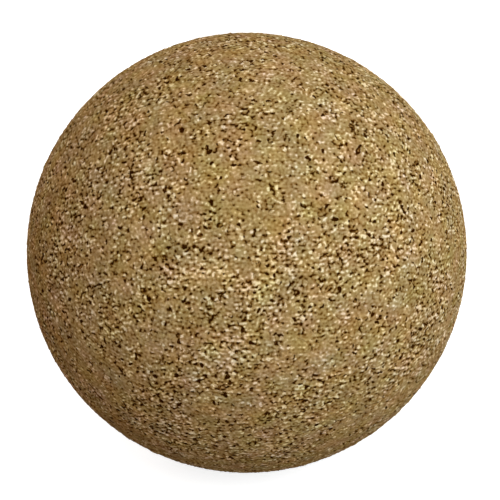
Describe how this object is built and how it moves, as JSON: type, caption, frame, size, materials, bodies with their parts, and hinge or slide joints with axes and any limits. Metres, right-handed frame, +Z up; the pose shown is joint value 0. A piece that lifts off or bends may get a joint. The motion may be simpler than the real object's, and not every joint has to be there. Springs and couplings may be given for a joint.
{
  "type": "massage ball",
  "caption": "Solid ball of bonded fine-grain cork for rolling under the foot, back or shoulder to massage muscle.",
  "frame": {"origin": "centre of the ball", "axes": "+Z up; the ball looks the same along every axis, and -Y faces the viewer"},
  "size_m": [0.065, 0.065, 0.065],
  "materials": {
    "bonded_cork": "matte",
    "straw_cork": "matte",
    "ochre_cork": "matte",
    "tan_cork": "matte",
    "rosy_cork": "matte",
    "olive_cork": "matte",
    "umber_cork": "matte",
    "bark": "matte",
    "cream_cork": "matte"
  },
  "bodies": {
    "root": {"cork_body": "bonded_cork", "straw_granules": "straw_cork", "ochre_granules": "ochre_cork", "tan_granules": "tan_cork", "rosy_granules": "rosy_cork", "olive_granules": "olive_cork", "umber_granules": "umber_cork", "bark_flecks": "bark", "cream_flecks": "cream_cork"}
  },
  "joints": []
}
